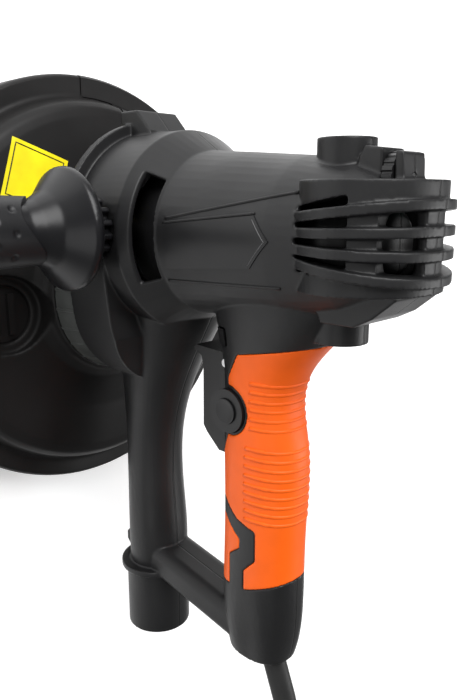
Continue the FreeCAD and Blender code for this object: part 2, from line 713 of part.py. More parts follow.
def lock_button():
    body = bar_y(LOCK_R, -18.8, -11.5, LOCK_X, LOCK_Z)
    dish = Part.makeSphere(26, V(LOCK_X, -18.8 - 25.4, LOCK_Z))
    return body.cut(dish)


def light_slider():
    x0, x1, z0, z1 = WINDOW
    knob = box(x0 + 0.5, x1 - 0.5, -30, -8, z0 + 3.6, z1 - 0.5)
    return knob.common(loft_x(GRIP_SECTIONS, -0.7, 2.3)).cut(loft_x(GRIP_SECTIONS, 3.5, 2.3))


def speed_dial():
    z0, z1 = DIAL_Z
    wheel = join([rod(DIAL_R, z0, z1, DIAL_X), rod(DIAL_PIN_R, z0 - 5, z1 + 4, DIAL_X)])
    reach = DIAL_R + 0.2
    for n in range(18):
        a = 2 * math.pi * n / 18
        wheel = wheel.cut(rod(0.8, z0 - 1, z1 + 1, DIAL_X + reach * math.cos(a), reach * math.sin(a)))
    return wheel


# ---- auxiliary handle ------------------------------------------------------------
def turned_y(points):
    """Solid of revolution about the auxiliary handle axis from (radius, y) points."""
    corners = [V(SIDE_X, y, SIDE_Z + r) for r, y in points]
    face = Part.Face(Part.makePolygon(corners + corners[:1]))
    return face.revolve(V(SIDE_X, 0, SIDE_Z), ACROSS, 360)


def side_handle():
    y = SIDE_FACE
    points = [(0, -y - 1.5), (11.5, -y - 1.5), (11.5, -y - 11), (14, -y - 12.5), (26.6, -y - 15)]
    points += [(28, -y - 17), (27.6, -y - 19.5), (23, -y - 23.5), (17.5, -y - 28.5)]
    points += [(13.8, -y - 35), (12.2, -y - 40)]
    points += [(12.2, -SIDE_END + 3), (0, -SIDE_END + 3)]
    body = turned_y(points)
    for n in range(14):
        tooth = box(10.5, 14.8, -y - 13, -y - 1.5, -1.4, 1.4)
        tooth.rotate(V(0, 0, 0), ACROSS, 360.0 * n / 14)
        tooth.translate(V(SIDE_X, 0, SIDE_Z))
        body = body.fuse(tooth)
    return body.removeSplitter().cut(bar_y(STUD_R, -75, -30, SIDE_X, SIDE_Z))


def side_sleeve():
    y = SIDE_FACE
    points = [(12.2, -y - 40), (13.6, -y - 37.5), (14.4, -y - 46), (15.2, -y - 70), (15.6, -y - 100)]
    points += [(14.9, -SIDE_END + 4), (13.2, -SIDE_END), (0, -SIDE_END), (0, -SIDE_END + 3)]
    points.append((12.2, -SIDE_END + 3))
    return turned_y(points)


# ---- cord ------------------------------------------------------------------------
RELIEF_END = EXIT + EXIT_WAY * RELIEF_L
COIL = V(352, -118, 0)
COIL_RADII = (36, 44, 52)
COIL_LAYERS = 4
TAIL = [(404, -118, 4), (404, -92, 11.5)]
PLUG_L = 56.0
ROUTE = [(RELIEF_END.x, 0, RELIEF_END.z), (239, 0, 203.8), (263, -1, 202.3), (284.5, -3, 190)]
ROUTE += [(298.5, -7, 168.5), (304, -12, 143), (304.5, -19, 117), (303.5, -29, 93)]
ROUTE += [(302, -42, 72), (301, -58, 55.5), (300.3, -77, 44), (300, -97, 38.5)]
LANDING = V(300, -118, 36)


def cord_tube(points):
    """Straight runs joined by tangent arcs; returns the tube and its length."""
    spots = [V(*p) for p in points]
    edges = []
    length = 0.0
    here = spots[0]
    radii = []
    for before, corner, after in zip(spots, spots[1:], spots[2:]):
        back = before - corner
        ahead = after - corner
        shorter = min(back.Length, ahead.Length)
        back.normalize()
        ahead.normalize()
        turn = math.pi - back.getAngle(ahead)
        reach = 0.45 * shorter
        radius = reach / math.tan(turn / 2)
        radii.append(radius)
        start = corner + back * reach
        end = corner + ahead * reach
        toward = back + ahead
        toward.normalize()
        middle = corner + toward * (radius / math.cos(turn / 2) - radius)
        edges.append(Part.LineSegment(here, start).toShape())
        edges.append(Part.Arc(start, middle, end).toShape())
        length += (start - here).Length + radius * turn
        here = end
    edges.append(Part.LineSegment(here, spots[-1]).toShape())
    length += (spots[-1] - here).Length
    path = Part.Wire(edges)
    way = spots[1] - spots[0]
    circle = Part.Wire([Part.makeCircle(CORD_R, spots[0], way)])
    tube = path.makePipeShell([circle], True, False)
    print("cord radii", [round(r) for r in radii], "length", round(length, 1))
    print("tube volume / (section x length) %.4f" % (tube.Volume / (math.pi * CORD_R ** 2 * length)))
    return tube


def coil_length():
    """Turns in the coil: one on top, then every radius in every layer."""
    turns = [COIL_RADII[-1]] + list(COIL_RADII) * COIL_LAYERS
    return sum(2 * math.pi * r for r in turns)


def stub(start, end):
    way = end - start
    return Part.makeCylinder(CORD_R, way.Length, start, way)


def cord_coil():
    inner = COIL_RADII[0] - CORD_R - 0.5
    outer = COIL_RADII[-1] + CORD_R + 0.5
    bundle = Part.makeCylinder(outer, 8.0 * COIL_LAYERS + 8, COIL, UP)
    bundle = bundle.cut(Part.makeCylinder(inner, 60, COIL - UP, UP))
    body = bundle.fuse(stub(V(*ROUTE[-1]), LANDING)).fuse(stub(V(*TAIL[0]), V(*TAIL[1])))
    return body.cut(box(200, 500, -300, 100, -20, 0))


def plug():
    x, y, z = TAIL[1]
    sleeve = Part.makeCone(5.2, 7.5, 20, V(x, y, z), ACROSS)
    sections = [(y + 18, 8.5, 8.0), (y + 26, 13, 10.5), (y + 40, 16.5, 11.4), (y + PLUG_L, 18.5, 11.4)]
    return join([sleeve, loft_plug(sections, x, z)])


def loft_plug(sections, x, z):
    wires = []
    for y, half_x, half_z in sections:
        points = []
        for i in range(16):
            a = 2 * math.pi * (i + 0.5) / 16
            c = math.copysign(abs(math.cos(a)) ** 0.7, math.cos(a))
            s = math.copysign(abs(math.sin(a)) ** 0.7, math.sin(a))
            points.append(V(x + half_x * c, y, z + half_z * s))
        curve = Part.BSplineCurve()
        curve.interpolate(Points=points, PeriodicFlag=True)
        wires.append(Part.Wire([curve.toShape()]))
    return Part.makeLoft(wires, True, False)


# ---- write every piece -----------------------------------------------------------
def write_head():
    save("hood", dust_hood())
    save("hood_edge_segment", hood_segment())
    save("brush_skirt", bristles(SEGMENT_TO - 360 + 0.6, SEGMENT_FROM - 0.6))
    save("segment_brush", bristles(SEGMENT_FROM + 0.6, SEGMENT_TO - 0.6))
    save("air_valve", air_valve())
    lens = [(LED_R, LED_Z), (LED_REAR_R, LED_TOP), (41.0, LED_TOP), (41.0, LED_Z)]
    save("led_ring", revolve(lens))
    board = ring(LED_REAR_R + 0.3, 38.5, LED_TOP, LED_TOP + BOARD_T)
    save("led_board", board.cut(sector(30, 41.8, 240, 300, LED_TOP - 1, LED_TOP + 2)))
    screws = []
    for degrees in range(0, 360, 60):
        x, y = polar(HOOD_SCREW_R, degrees)
        screws.append(rod(3.0, 57.2, 60, x, y).fuse(rod(1.6, 59, 67, x, y)))
    save("hood_screws", Part.Compound([s.removeSplitter() for s in screws]))


def write_drive():
    save("gear_case", gear_case())
    save("gear_cover", gear_cover())
    screws = [rod(3.0, 99, 101.5, x, y).fuse(rod(1.6, 86, 100, x, y)) for x, y in CASE_EARS]
    save("gear_case_screws", Part.Compound([screw.removeSplitter() for screw in screws]))
    save("spindle", spindle())
    pad_parts()
    gears()
    bearing("spindle_bearing_lower", 16.0, SPINDLE_R, LOWER_BEARING_Z)
    bearing("spindle_bearing_upper", 13.0, 5.0, UPPER_BEARING_Z)
    bearing("motor_bearing_front", 14.0, 6.0, MOTOR_BEARING_Z, MOTOR_X)
    bearing("motor_bearing_rear", 11.0, 4.0, (228.5, 235.5), MOTOR_X)
    save("bearing_sleeve", ring(13.0, 11.0, 228.2, 236.0, MOTOR_X))
    save("armature_shaft", armature_shaft())
    save("rotor_core", rotor_core())
    windings = [front_turns(), rear_turns()]
    save("rotor_windings", Part.Compound([w.cut(rod(5.0, 100, 230, MOTOR_X)) for w in windings]))
    save("commutator", commutator())
    save("cooling_fan", cooling_fan())
    save("stator_core", stator_core())
    save("field_coils", field_coils())
    names = ("brush_holders", "carbon_brushes", "brush_springs", "brush_caps")
    for name, pair in zip(names, zip(brush_gear(-1), brush_gear(1))):
        save(name, Part.Compound(list(pair)))


def write_body():
    body = housing()
    body = body.cut(bar_y(LOCK_BEZEL_R + 0.05, -40, -15.0, LOCK_X, LOCK_Z))
    body = body.cut(rod(DIAL_PIN_R + RUN, DIAL_Z[0] - 5.4, DIAL_Z[1] + 4.4, DIAL_X))
    px, pz = TRIGGER_PIVOT
    body = body.cut(bar_y(2.0, -13, 13, px, pz))
    for hole in housing_screws(0.2):
        body = body.cut(hole)
    save("housing_screws", Part.Compound(housing_screws()))
    save("housing_left", half(body, -1))
    save("housing_right", half(body, 1))
    save("trigger_pin", bar_y(2.0, -13, 13, px, pz))
    for name, y0, y1 in (("left", -40, 0), ("right", 0, 40)):
        side = box(-100, 300, y0, y1, 0, 300)
        save("grip_cover_" + name, grip_skin(SKIN).common(side))
    save("grip_inlay", grip_skin(INLAY))
    save("badges", Part.Compound([badge(-1), badge(1)]))
    save("trigger", trigger())
    save("trigger_spring", Part.makeCylinder(3.0, 7.6, V(60, 0, 156.7), UP))
    save("switch_module", box(33, 68, -7.2, 7.2, 164.6, 185))
    save("lock_button", lock_button())
    bezel = bar_y(LOCK_BEZEL_R, -17.8, -15.0, LOCK_X, LOCK_Z)
    save("lock_bezel", bezel.cut(bar_y(LOCK_R + 0.2, -30, 0, LOCK_X, LOCK_Z)))
    save("light_slider", light_slider())
    save("speed_dial", speed_dial())
    save("speed_board", box(-50, -48.4, -SPEED_BOARD_Y, SPEED_BOARD_Y, *SPEED_BOARD_Z))
    save("side_stud", bar_y(STUD_R, -70, -35, SIDE_X, SIDE_Z))
    save("side_handle", side_handle())
    save("side_sleeve", side_sleeve())


def write_cord():
    collar = Part.makeCylinder(8.0, 3.5, EXIT - EXIT_WAY * 8, EXIT_WAY)
    sleeve = Part.makeCylinder(RELIEF_R, 34.4, EXIT - EXIT_WAY * 5, EXIT_WAY)
    taper = Part.makeCone(RELIEF_R, 4.8, RELIEF_L - 29, EXIT + EXIT_WAY * 29, EXIT_WAY)
    save("strain_relief", join([collar, sleeve, taper]))
    save("cord_clamp", box(150, 158, -9, 9, 176, 181.5))
    save("power_cord", cord_tube(ROUTE))
    save("cord_coil", cord_coil())
    print("coiled length %.0f" % coil_length())
    save("power_plug", plug())
    x, y, z = TAIL[1]
    face = y + PLUG_L
    pins = [bar_y(2.4, face, face + 19, x + dx, z) for dx in (-9.5, 9.5)]
    save("plug_pins", Part.Compound(pins))


write_head()
write_drive()
write_body()
write_cord()
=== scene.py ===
import json
import math

import bpy
from mathutils import Matrix, Vector
from mathutils.bvhtree import BVHTree


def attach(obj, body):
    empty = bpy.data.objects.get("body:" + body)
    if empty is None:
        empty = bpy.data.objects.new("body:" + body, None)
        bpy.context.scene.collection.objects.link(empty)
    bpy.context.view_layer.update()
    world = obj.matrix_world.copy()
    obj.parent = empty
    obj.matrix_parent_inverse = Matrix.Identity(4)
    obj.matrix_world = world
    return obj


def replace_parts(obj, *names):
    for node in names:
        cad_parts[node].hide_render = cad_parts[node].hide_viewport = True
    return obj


# Looks of a hand-held disc sander with dust extraction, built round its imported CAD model.
# Metres, +Z along the spindle away from the work, +X down the hand grip.

MM = 0.001
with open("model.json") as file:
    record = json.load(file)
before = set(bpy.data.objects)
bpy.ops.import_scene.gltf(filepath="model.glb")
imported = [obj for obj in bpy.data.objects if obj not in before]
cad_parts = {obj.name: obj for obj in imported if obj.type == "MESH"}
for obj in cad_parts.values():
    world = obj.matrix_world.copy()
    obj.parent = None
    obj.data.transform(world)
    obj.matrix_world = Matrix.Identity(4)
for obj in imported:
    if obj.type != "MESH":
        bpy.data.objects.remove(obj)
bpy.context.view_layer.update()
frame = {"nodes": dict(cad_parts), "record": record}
nodes = frame["nodes"]

# ---- sizes shared with the CAD model, millimetres -----------------------------------
GRIP_Z = 173.7             # middle of the grip
MOTOR_X = -35.0            # motor axis
BRISTLE_R = (113.6, 116.8)
BRISTLE_TOP = 26.9
SEGMENT = (90.0, 168.0)    # edge segment, degrees from -Y round through -X to +Y
SEGMENT_GAP = 0.6          # degrees left free at each end of a row of bristles
LED_R = 45.3
LED_REAR_R = 43.5
LED_IN_R = 41.0
LED_Z = (64.0, 79.0)
SIDE_AXIS = (-38.0, 108.0)                 # x, z of the auxiliary handle
SLEEVE_END = -181.5
CORD_D = 8.0
ROUTE = [(218.7, 0, 195.9), (239, 0, 203.8), (263, -1, 202.3), (284.5, -3, 190)]
ROUTE += [(298.5, -7, 168.5), (304, -12, 143), (304.5, -19, 117), (303.5, -29, 93)]
ROUTE += [(302, -42, 72), (301, -58, 55.5), (300.3, -77, 44), (300, -97, 38.5)]
COIL_CENTRE = (352.0, -118.0)
COIL_RADII = (36.0, 44.0, 52.0)
COIL_LAYERS = 4
TAIL = (404.0, -92.0, 11.5)
TAIL_BEND = (-104.0, 7.2)                  # y, z of the point between coil and plug

# ---- sizes of what is only seen, millimetres ----------------------------------------
RIB_R = 1.15               # finger ribs on the soft cover
RIB_SINK = 0.75            # depth of their centre line under the surface
RIB_UPPER = (30.3, 34.5, 38.9, 43.0, 47.5, 52.0)
RIB_LOWER = (62.1, 66.5, 71.0, 75.5, 80.0, 84.4, 88.9, 93.4, 97.9)
LED_RIBS = 26
LED_RIB_STEPS = 24         # mesh steps from one rib to the next
LED_RIB_WIDE = 3           # of which this many are the rib
LED_GROOVE = 0.45
CREASES = [((-43.3, 146), (-54.5, 212)), ((-41.4, 145), (-46.2, 195))]     # x, z of both ends
CREASES += [((-15.5, 143), (-17, 205))]
CREASE_R = 0.55
PLATE_TIP = [(-43.9, 194.6), (-35.4, 201.2), (-25.6, 192.4)]               # x, z
PLATE_LINE_R = 0.16
LABEL = ((-82.6, -53.0), (-71.1, -22.9), (-52.7, -63.3), (-41.2, -33.2))   # x, y of its corners
LABEL_LIFT = 0.15
BORDER_INSET = 0.07        # border line, as a share of the label's sides
BORDER_LIFT = 0.1
BORDER_R = 0.35
ABOVE_HOOD = 62.0          # height from which the label is laid down
SLEEVE_FRONT = -79.5
SLEEVE_POINT = 6.0         # half the height of the wave in its front edge
SLEEVE_TIP = math.radians(150)             # turn of that wave, from +Z towards +X
DIMPLE_FROM = 96.0         # first row of dimples, from the middle plane
DIMPLE_PITCH = 8.5
DIMPLES_ROUND = 9
DIMPLE_ZONE = (92, 174)
DIMPLE_R = 1.5
DIMPLE_DEEP = 0.75
# name, radius, low Z, high Z and arcs in degrees of each dark inner wall; these walls are painted
# shade, dark sheets that keep the shoulder slot and the air inlets dark
SHADE_WALLS = [("fan_shade_wall", 34.6, 118.0, 147.0, [(0, 360)])]
SHADE_WALLS += [("inlet_shade_wall", 24.4, 203.0, 235.5, [(24, 156), (204, 336)])]
SHADE_WALL_T = 0.9
REAR_CAP = [(12.7, 236.6), (12.7, 239.0), (10.0, 240.6)]                   # radius, Z


# ---- material helpers ---------------------------------------------------------------
class Shader:
    """A Principled material with small helpers for its node tree."""

    def __init__(self, name, rough=0.5, metal=0.0, **sockets):
        self.mat = bpy.data.materials.new(name)
        self.mat.use_nodes = True
        self.tree = self.mat.node_tree
        self.surface = self.tree.nodes["Principled BSDF"]
        self.surface.inputs["Roughness"].default_value = rough
        self.surface.inputs["Metallic"].default_value = metal
        for key, value in sockets.items():
            self.surface.inputs[key.replace("_", " ")].default_value = value
        self.coords = self.node("ShaderNodeTexCoord").outputs["Object"]
        self.normal = None

    def node(self, kind, **values):
        node = self.tree.nodes.new(kind)
        for key, value in values.items():
            setattr(node, key, value)
        return node

    def link(self, out, socket):
        self.tree.links.new(out, socket)

    def noise(self, scale, detail=4.0, stretch=None):
        source = self.coords
        if stretch:
            mapping = self.node("ShaderNodeMapping")
            mapping.inputs["Scale"].default_value = stretch
            self.link(source, mapping.inputs["Vector"])
            source = mapping.outputs["Vector"]
        texture = self.node("ShaderNodeTexNoise")
        texture.inputs["Scale"].default_value = scale
        texture.inputs["Detail"].default_value = detail
        self.link(source, texture.inputs["Vector"])
        return texture.outputs["Fac"]

    def cells(self, scale):
        texture = self.node("ShaderNodeTexVoronoi")
        texture.inputs["Scale"].default_value = scale
        self.link(self.coords, texture.inputs["Vector"])
        return texture.outputs["Distance"]

    def spread(self, value, low, high, to_low, to_high):
        remap = self.node("ShaderNodeMapRange", interpolation_type="SMOOTHSTEP")
        limits = {"From Min": low, "From Max": high, "To Min": to_low, "To Max": to_high}
        for key, number in limits.items():
            remap.inputs[key].default_value = number
        self.link(value, remap.inputs["Value"])
        return remap.outputs["Result"]

    def colour(self, value, stops):
        ramp = self.node("ShaderNodeValToRGB")
        ramp.color_ramp.elements[0].position = stops[0][0]
        ramp.color_ramp.elements[0].color = (*stops[0][1], 1)
        ramp.color_ramp.elements[1].position = stops[-1][0]
        ramp.color_ramp.elements[1].color = (*stops[-1][1], 1)
        for place, tint in stops[1:-1]:
            ramp.color_ramp.elements.new(place).color = (*tint, 1)
        self.link(value, ramp.inputs["Fac"])
        self.link(ramp.outputs["Color"], self.surface.inputs["Base Color"])

    def rough_by(self, value, low, high):
        self.link(self.spread(value, 0.3, 0.7, low, high), self.surface.inputs["Roughness"])

    def bump(self, height, distance, strength=1.0):
        node = self.node("ShaderNodeBump")
        node.inputs["Distance"].default_value = distance
        node.inputs["Strength"].default_value = strength
        self.link(height, node.inputs["Height"])
        if self.normal:
            self.link(self.normal, node.inputs["Normal"])
        self.normal = node.outputs["Normal"]
        self.link(self.normal, self.surface.inputs["Normal"])

    def seam(self):
        """0 in the parting line of the two halves, 1 away from it."""
        split = self.node("ShaderNodeSeparateXYZ")
        self.link(self.coords, split.inputs["Vector"])
        size = self.node("ShaderNodeMath", operation="ABSOLUTE")
        self.link(split.outputs["Y"], size.inputs[0])
        return self.spread(size.outputs["Value"], 0.00015, 0.0006, 0.0, 1.0)


def shade(colour, factor):
    return tuple(min(1.0, c * factor) for c in colour)


def moulded(name, colour, rough, grain=2600.0, depth=0.00006, seam=False, shine=0.33):
    """Injection-moulded plastic with a fine spark texture."""
    s = Shader(name, rough, Specular_IOR_Level=shine)
    s.colour(s.noise(55.0, 5.0), [(0.3, shade(colour, 0.86)), (0.7, shade(colour, 1.14))])
    s.rough_by(s.noise(24.0, 6.0), rough - 0.05, rough + 0.06)
    if seam:
        s.bump(s.seam(), 0.0006)
    s.bump(s.noise(grain, 3.0), depth, 0.55)
    return s.mat


def soft_cover(name, colour, rough):
    """Satin soft-touch rubber."""
    s = Shader(name, rough, Specular_IOR_Level=0.3)
    s.colour(s.noise(70.0, 4.0), [(0.3, shade(colour, 0.93)), (0.72, shade(colour, 1.04))])
    s.rough_by(s.noise(30.0, 5.0), rough - 0.06, rough + 0.06)
    s.bump(s.noise(3200.0, 2.0), 0.00004, 0.5)
    return s.mat


def metal(name, colour, rough, stretch=(1, 1, 30), scale=160.0):
    """Machined metal with turning marks."""
    s = Shader(name, rough, 1.0)
    marks = s.noise(scale, 5.0, stretch)
    s.colour(marks, [(0.3, shade(colour, 0.85)), (0.7, shade(colour, 1.1))])
    s.rough_by(marks, rough - 0.08, rough + 0.1)
    s.bump(marks, 0.00005, 0.4)
    return s.mat


def grit(name, colour, scale, depth, rough=0.9):
    """Abrasive, foam, hook fabric and bristle ends: cells with dark gaps."""
    s = Shader(name, rough)
    cells = s.cells(scale)
    s.colour(cells, [(0.0, shade(colour, 1.25)), (0.6, shade(colour, 0.55))])
    s.bump(cells, depth, 0.9)
    return s.mat


def lens_plastic():
    """Frosted clear plastic, grey where nothing lights it."""
    s = Shader("frosted lens", 0.28, Transmission_Weight=0.25, IOR=1.5)
    s.colour(s.noise(90.0, 3.0), [(0.3, (0.055, 0.058, 0.056)), (0.7, (0.10, 0.105, 0.10))])
    s.bump(s.noise(900.0, 2.0), 0.00005, 0.4)
    return s.mat


SLOTS = {
    "body_black": moulded("body plastic", (0.0085, 0.0085, 0.009), 0.42, seam=True),
    "hood_black": moulded("hood plastic", (0.0065, 0.006, 0.006), 0.50, shine=0.24),
    "grip_orange": soft_cover("orange soft cover", (0.86, 0.115, 0.0025), 0.48),
    "trim_black": moulded("satin trim", (0.007, 0.007, 0.0075), 0.36, 3200.0, 0.00003),
    "handle_black": moulded("handle plastic", (0.006, 0.006, 0.007), 0.33, 3000.0, 0.00003),
    "soft_black": soft_cover("sleeve rubber", (0.008, 0.008, 0.009), 0.46),
    "lens_grey": lens_plastic(),
    "board_green": moulded("circuit board", (0.012, 0.16, 0.10), 0.4, 600.0, 0.0001),
    "bristle": grit("bristle ends", (0.02, 0.02, 0.02), 900.0, 0.0004),
    "steel": metal("machined steel", (0.55, 0.55, 0.56), 0.34),
    "case_alu": metal("cast aluminium", (0.62, 0.62, 0.63), 0.5, (1, 1, 1), 500.0),
    "gear_steel": metal("hardened steel", (0.35, 0.34, 0.33), 0.4),
    "copper": metal("enamelled copper", (0.62, 0.22, 0.07), 0.35, (1, 1, 12), 300.0),
    "brass": metal("brass", (0.68, 0.48, 0.18), 0.3),
    "carbon": moulded("carbon", (0.02, 0.02, 0.02), 0.6, 900.0, 0.0001),
    "foam": grit("foam", (0.06, 0.06, 0.06), 700.0, 0.0006),
    "abrasive": grit("coated abrasive", (0.34, 0.17, 0.07), 1500.0, 0.0005),
    "loop": grit("hook fabric", (0.04, 0.04, 0.04), 1200.0, 0.0005),
    "pad_plastic": moulded("pad plastic", (0.03, 0.03, 0.032), 0.5, 1500.0, 0.00008),
    "fan_plastic": moulded("fan plastic", (0.02, 0.02, 0.02), 0.5, 1800.0, 0.00005),
    "cord_rubber": moulded("cord rubber", (0.012, 0.012, 0.012), 0.52, 2200.0, 0.00006),
}
LABEL_YELLOW = moulded("label yellow", (0.88, 0.74, 0.012), 0.3, 1500.0, 0.00002)
OUTLINE_GREY = moulded("plate outline", (0.10, 0.10, 0.102), 0.35, 1500.0, 0.00002)


# ---- mesh helpers -------------------------------------------------------------------
def new_piece(name, verts, faces, slot, body, smooth=True):
    """Mesh piece from millimetres, riding on a body."""
    mesh = bpy.data.meshes.new(name)
    mesh.from_pydata([Vector(v) * MM for v in verts], [], faces)
    mesh.validate()
    piece = bpy.data.objects.new(name, mesh)
    bpy.context.collection.objects.link(piece)
    return dress(piece, slot, body, smooth)


def dress(piece, slot, body, smooth=True):
    """Material, body and slot of a piece."""
    piece.data.materials.clear()
    piece.data.materials.append(SLOTS[slot])
    for face in getattr(piece.data, "polygons", ()):
        face.use_smooth = smooth
    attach(piece, body)
    return piece


def sweep(name, lines, radius, slot, body, sides=8, closed=False):
    """Round bead of a given radius along each line of points."""
    verts = []
    faces = []
    for line in lines:
        points = [Vector(p) for p in line]
        count = len(points)
        base = len(verts)
        for i, point in enumerate(points):
            before = points[(i - 1) % count] if closed or i else point
            after = points[(i + 1) % count] if closed or i < count - 1 else point
            way = (after - before).normalized()
            side = way.orthogonal() if abs(way.z) > 0.9 else way.cross(Vector((0, 0, 1))).normalized()
            over = way.cross(side).normalized()
            for k in range(sides):
                a = 2 * math.pi * k / sides
                verts.append(point + (side * math.cos(a) + over * math.sin(a)) * radius)
        for i in range(count if closed else count - 1):
            for k in range(sides):
                here = base + i * sides
                there = base + (i + 1) % count * sides
                faces.append((here + k, here + (k + 1) % sides, there + (k + 1) % sides, there + k))
        if not closed:
            faces.append(tuple(base + k for k in reversed(range(sides))))
            faces.append(tuple(base + (count - 1) * sides + k for k in range(sides)))
    return new_piece(name, verts, faces, slot, body)


def moulded_copy(name, sources, slot, body, voxel, rounds):
    """CAD solids as one moulding: edges and joins get the small radius of a real moulding."""
    mesh = bpy.data.meshes.new(name)
    verts = []
    faces = []
    for source in sources:
        base = len(verts)
        verts += [v.co.copy() for v in nodes[source].data.vertices]
        faces += [[base + i for i in face.vertices] for face in nodes[source].data.polygons]
    mesh.from_pydata(verts, [], faces)
    piece = bpy.data.objects.new(name, mesh)
    bpy.context.collection.objects.link(piece)
    remesh = piece.modifiers.new("remesh", "REMESH")
    remesh.mode = "VOXEL"
    remesh.voxel_size = voxel * MM
    smooth = piece.modifiers.new("smooth", "SMOOTH")
    smooth.factor = 0.5
    smooth.iterations = rounds
    graph = bpy.context.evaluated_depsgraph_get()
    shaped = bpy.data.meshes.new_from_object(piece.evaluated_get(graph))
    piece.modifiers.clear()
    piece.data = shaped
    dress(piece, slot, body)
    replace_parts(piece, *sources)


def surface_of(node):
    """Search tree of a CAD node's surface."""
    mesh = nodes[node].data
    corners = [v.co for v in mesh.vertices]
    return BVHTree.FromPolygons(corners, [list(f.vertices) for f in mesh.polygons])


def on_surface(tree, start, way):
    """Where a line from start along way meets a surface, millimetres, or None."""
    place, normal, _, _ = tree.ray_cast(Vector(start) * MM, Vector(way))
    return (place / MM, normal) if place else None


# ---- pieces -------------------------------------------------------------------------
def mouldings():
    """Casing, hood, soft covers and handle; the last two numbers are voxel size and smoothing."""
    housing = ["housing_left", "housing_right"]
    cover = ["grip_cover_left", "grip_cover_right"]
    moulded_copy("motor_housing", housing, "body_black", "housing", 0.55, 2)
    moulded_copy("dust_hood", ["hood"], "hood_black", "housing", 1.0, 4)
    moulded_copy("orange_cover", cover, "grip_orange", "housing", 0.6, 4)
    moulded_copy("orange_inlay", ["grip_inlay"], "grip_orange", "housing", 0.6, 3)
    moulded_copy("handle_body", ["side_handle"], "handle_black", "housing", 0.7, 4)


def grip_ribs():
    """Low finger ribs round the rear and sides of the orange cover."""
    trees = [surface_of("grip_cover_left"), surface_of("grip_cover_right")]
    lines = []
    steps = 31
    for group, reach in ((RIB_UPPER, 78), (RIB_LOWER, 88)):
        for n, x in enumerate(group):
            ends = math.radians(reach - 5.0 * abs(n - len(group) / 2) / len(group))
            line = []
            for i in range(steps + 1):
                a = -ends + 2 * ends * i / steps
                way = Vector((0, math.sin(a), math.cos(a)))
                outside = Vector((x, 0, GRIP_Z)) + way * 40
                found = on_surface(trees[0 if a < 0 else 1], outside, -way)
                if found:
                    line.append(found[0] - way * RIB_SINK)
            lines.append(line)
    sweep("grip_ribs", lines, RIB_R, "grip_orange", "housing", 10)


def led_lens():
    """Frosted ring with coarse upright ribs."""
    verts = []
    faces = []
    steps = LED_RIBS * LED_RIB_STEPS
    low, high = LED_Z
    edge = 0.6
    outside = [(low, LED_R - 0.5), (low + edge, LED_R)]
    outside += [(high - edge, LED_REAR_R), (high, LED_REAR_R - 0.3)]
    inside = [(high, LED_IN_R), (low, LED_IN_R)]
    for i in range(steps):
        a = 2 * math.pi * i / steps
        sunk = 0.0 if i % LED_RIB_STEPS < LED_RIB_WIDE else LED_GROOVE
        for z, r in [(z, r - sunk) for z, r in outside] + inside:
            verts.append((r * math.cos(a), r * math.sin(a), z))
    width = len(outside + inside)
    for i in range(steps):
        for k in range(width):
            here = i * width
            there = (i + 1) % steps * width
            faces.append((here + k, there + k, there + (k + 1) % width, here + (k + 1) % width))
    lens = new_piece("light_lens", verts, faces, "lens_grey", "housing", False)
    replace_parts(lens, "led_ring")


def sleeve_radius(depth):
    """Barrel shape of the auxiliary handle's sleeve, by depth along it from 0 to 1."""
    swell = 1.35 * math.sin(math.pi * min(1.0, 0.15 + 0.75 * depth))
    closing = 2.6 * max(0.0, depth - 0.95) * 20
    return 14.3 + swell - closing


def handle_sleeve():
    """Soft sleeve with a pointed front edge and staggered round dimples."""
    around = 168
    along = 260
    front_edge_r = 12.4
    cx, cz = SIDE_AXIS
    verts = []
    faces = []
    for i in range(along + 1):
        depth = i / along
        for k in range(around):
            a = 2 * math.pi * k / around
            front = SLEEVE_FRONT - SLEEVE_POINT * (1 + math.cos(2 * (a - SLEEVE_TIP)))
            y = front + (SLEEVE_END - front) * depth
            r = sleeve_radius(depth)
            row = round((-y - DIMPLE_FROM) / DIMPLE_PITCH)
            turn = a / (2 * math.pi) * DIMPLES_ROUND + (0.5 if row % 2 else 0.0)
            off_y = (-y - DIMPLE_FROM) - row * DIMPLE_PITCH
            off_a = (turn - round(turn)) * 2 * math.pi * r / DIMPLES_ROUND
            away = math.hypot(off_y, off_a)
            if DIMPLE_ZONE[0] < -y < DIMPLE_ZONE[1]:
                r -= DIMPLE_DEEP * math.exp(-((away / DIMPLE_R) ** 4))
            if i == 0:
                r = front_edge_r
            verts.append((cx + r * math.sin(a), y, cz + r * math.cos(a)))
    for i in range(along):
        for k in range(around):
            n = (k + 1) % around
            faces.append((i * around + k, (i + 1) * around + k, (i + 1) * around + n, i * around + n))
    faces.append([along * around + k for k in reversed(range(around))])
    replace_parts(new_piece("handle_sleeve", verts, faces, "soft_black", "housing"), "side_sleeve")


def shade_walls():
    """Dark inner walls behind the shoulder slot and the air inlets: painted shade, dark sheets put
    where the openings show only shade, hiding the parts behind them.
    """
    for name, radius, low, high, arcs in SHADE_WALLS:
        verts = []
        faces = []
        inner = radius - SHADE_WALL_T
        for start, stop in arcs:
            steps = int((stop - start) / 4)
            base = len(verts)
            for i in range(steps + 1):
                a = math.radians(start + (stop - start) * i / steps)
                for r, z in ((radius, low), (radius, high), (inner, high), (inner, low)):
                    verts.append((MOTOR_X + r * math.cos(a), r * math.sin(a), z))
            for i in range(steps):
                for k in range(4):
                    here = base + i * 4
                    faces.append((here + k, here + 4 + k, here + 4 + (k + 1) % 4, here + (k + 1) % 4))
            faces.append((base + 3, base + 2, base + 1, base))
            faces.append(tuple(base + steps * 4 + k for k in range(4)))
        new_piece(name, verts, faces, "body_black", "housing")


